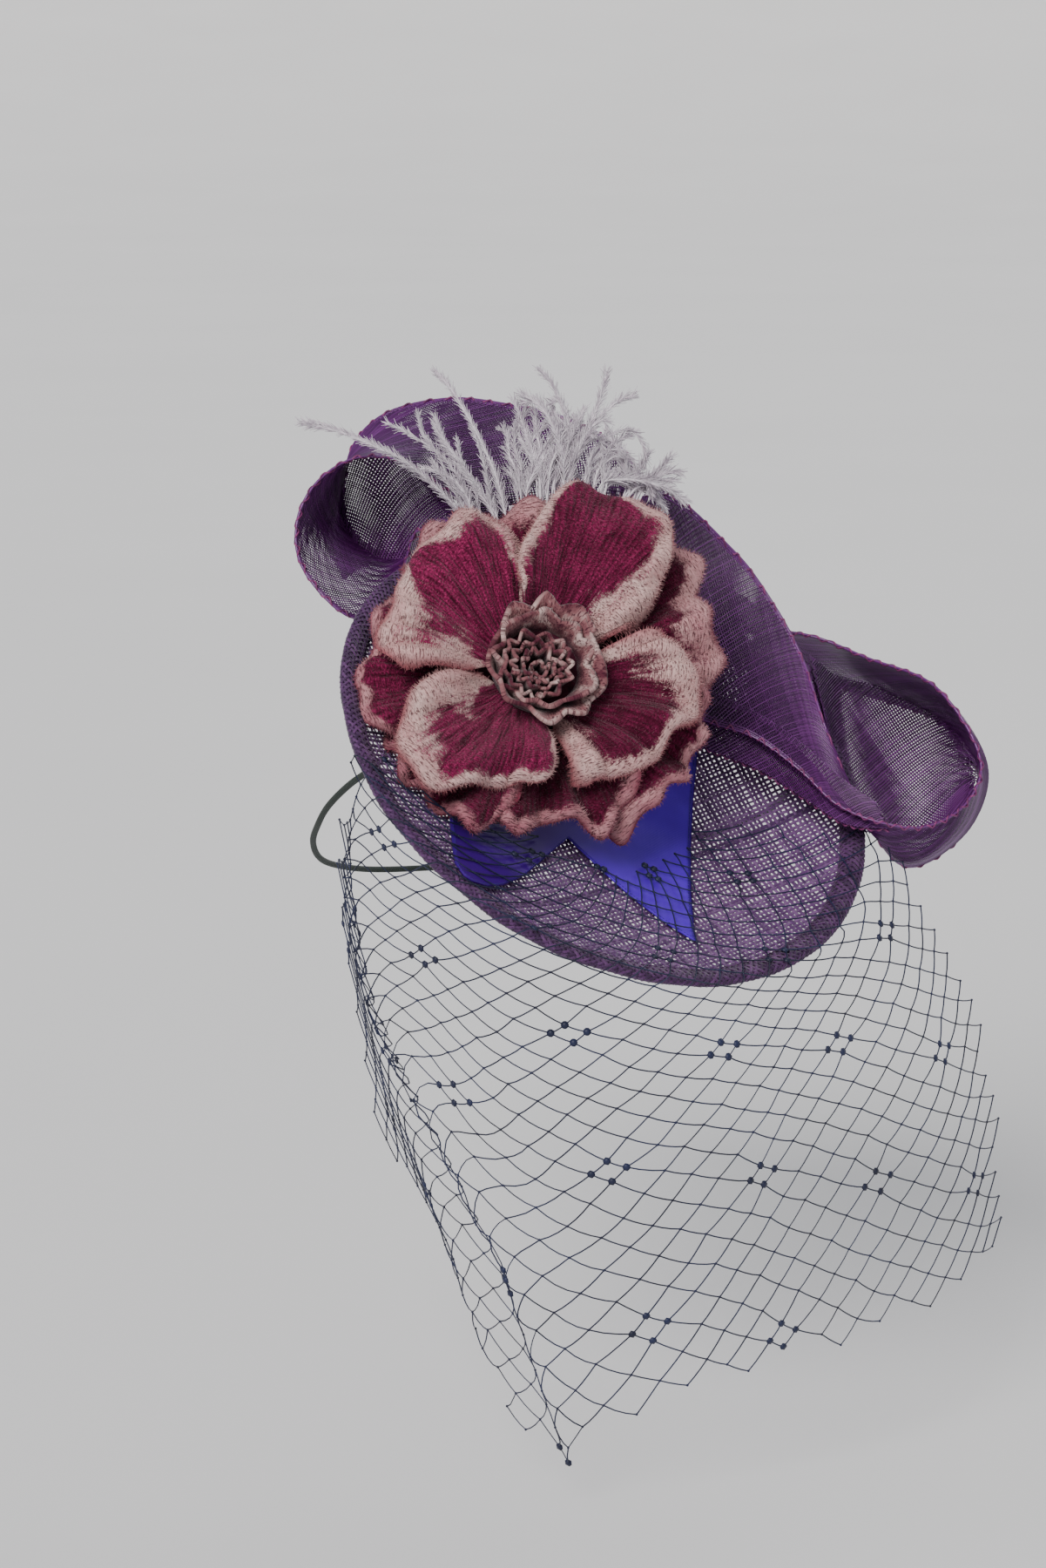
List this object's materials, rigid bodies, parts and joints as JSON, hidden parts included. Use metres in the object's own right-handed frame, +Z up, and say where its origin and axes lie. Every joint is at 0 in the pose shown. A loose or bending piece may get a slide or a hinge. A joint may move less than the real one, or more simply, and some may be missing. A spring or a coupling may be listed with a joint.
{
  "type": "veiled headpiece",
  "caption": "Saucer headpiece of open-weave straw cloth with a velvet flower, plumes, stiff braid loops, a ribbon tail, a face veil of knotted net and a head elastic.",
  "frame": {"origin": "middle of the saucer's underside, where it rests on the wearer's head", "axes": "+Z up, -Y forward, the way the wearer faces, +X to the wearer's left"},
  "size_m": [0.2168, 0.2538, 0.299],
  "materials": {
    "sinamay": "open weave, stiffened, matte",
    "sinamay_binding": "bias woven, matte",
    "satin": "satin sheen",
    "crin": "fine open braid with a nylon sheen",
    "velvet_upper": "velvet with pale, fuzzy edges",
    "velvet_lower": "velvet, backed with plain cloth",
    "velvet_centre": "pinked velvet frill",
    "feather": "soft ostrich barbs",
    "veil_net": "knotted net",
    "elastic": "braided cord"
  },
  "bodies": {
    "root": {"saucer": "sinamay", "rim_binding": "sinamay_binding", "satin_ribbon": "satin", "crin_loop_left": "crin", "crin_loop_right": "crin", "feather_tuft_left": "feather", "feather_tuft_right": "feather", "petal_upper_1": "velvet_upper", "petal_upper_2": "velvet_upper", "petal_upper_3": "velvet_upper", "petal_upper_4": "velvet_upper", "petal_lower_1": "velvet_lower", "petal_lower_2": "velvet_lower", "petal_lower_3": "velvet_lower", "petal_lower_4": "velvet_lower", "petal_lower_5": "velvet_lower", "petal_lower_6": "velvet_lower", "flower_centre": "velvet_centre", "veil": "veil_net", "elastic": "elastic"}
  },
  "joints": []
}
